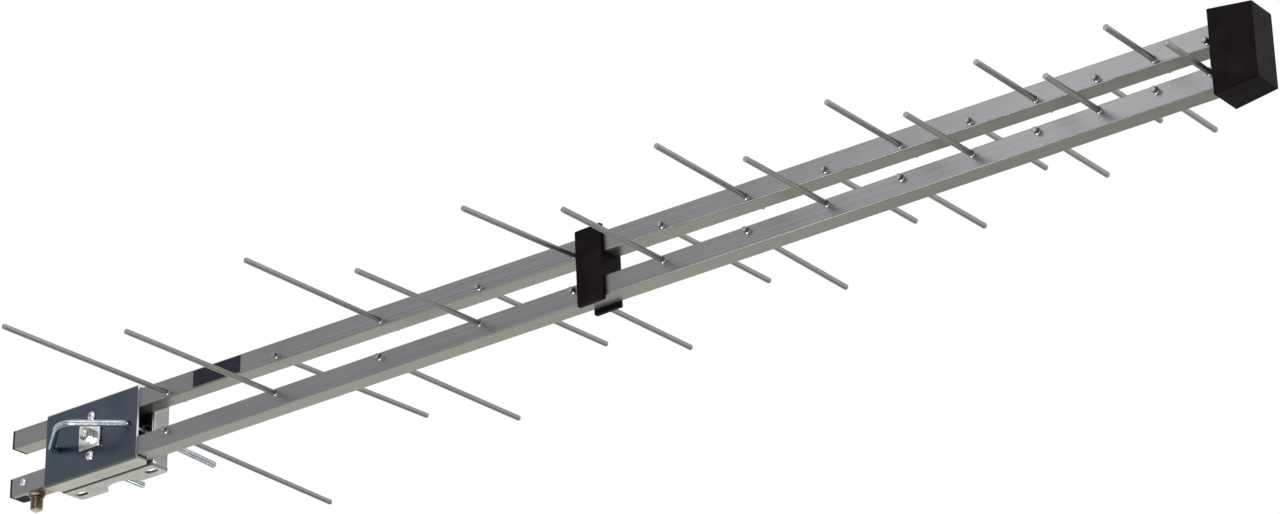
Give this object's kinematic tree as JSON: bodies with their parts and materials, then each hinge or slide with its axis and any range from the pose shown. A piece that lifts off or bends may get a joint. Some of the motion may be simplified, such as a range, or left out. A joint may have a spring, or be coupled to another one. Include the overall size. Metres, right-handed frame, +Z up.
{
  "type": "log periodic antenna",
  "caption": "Log periodic antenna with square aluminium booms, alternating rod elements that shorten towards the front, and a V-bolt mast clamp near the rear.",
  "frame": {"origin": "on the axis of the mast that the clamp holds, at the middle of the clamp's height", "axes": "+X along the booms to the shortest rods, +Z up along the mast, with the booms on the -Y side of the mast"},
  "size_m": [1.0818, 0.3419, 0.0709],
  "materials": {
    "boom_tube": "satin mill finish",
    "rod_stock": "satin drawn",
    "black_moulding": "fine satin",
    "plated_sheet": "bright zinc plate",
    "plated_wire": "bright zinc plate",
    "plated_fastener": "bright zinc plate",
    "plated_washer": "dull zinc plate",
    "socket_metal": "aged plate",
    "socket_insulation": "plain"
  },
  "bodies": {
    "root": {"boom_screw_nuts": "plated_fastener", "boom_screws": "plated_fastener", "clamp_bolt": "plated_fastener", "clamp_bolt_nut": "plated_fastener", "clamp_bolt_washer": "plated_washer", "clamp_channel": "plated_sheet", "front_cap": "black_moulding", "leg_nuts": "plated_fastener", "leg_washers": "plated_fastener", "lower_boom": "boom_tube", "lower_rear_plug": "black_moulding", "middle_spacer": "black_moulding", "plug_screw": "plated_fastener", "rod_01_far": "rod_stock", "rod_01_near": "rod_stock", "rod_02_far": "rod_stock", "rod_02_near": "rod_stock", "rod_03_far": "rod_stock", "rod_03_near": "rod_stock", "rod_04_far": "rod_stock", "rod_04_near": "rod_stock", "rod_05_far": "rod_stock", "rod_05_near": "rod_stock", "rod_06_far": "rod_stock", "rod_06_near": "rod_stock", "rod_07_far": "rod_stock", "rod_07_near": "rod_stock", "rod_08_far": "rod_stock", "rod_08_near": "rod_stock", "rod_09_far": "rod_stock", "rod_09_near": "rod_stock", "rod_10_far": "rod_stock", "rod_10_near": "rod_stock", "rod_11_far": "rod_stock", "rod_11_near": "rod_stock", "rod_12_far": "rod_stock", "rod_12_near": "rod_stock", "rod_13_far": "rod_stock", "rod_13_near": "rod_stock", "rod_14_far": "rod_stock", "rod_14_near": "rod_stock", "saddle_tray": "plated_sheet", "socket_body": "socket_metal", "socket_insulator": "socket_insulation", "socket_nut": "socket_metal", "socket_pin": "socket_metal", "upper_boom": "boom_tube", "upper_rear_plug": "black_moulding", "v_bolt": "plated_wire"}
  },
  "joints": []
}
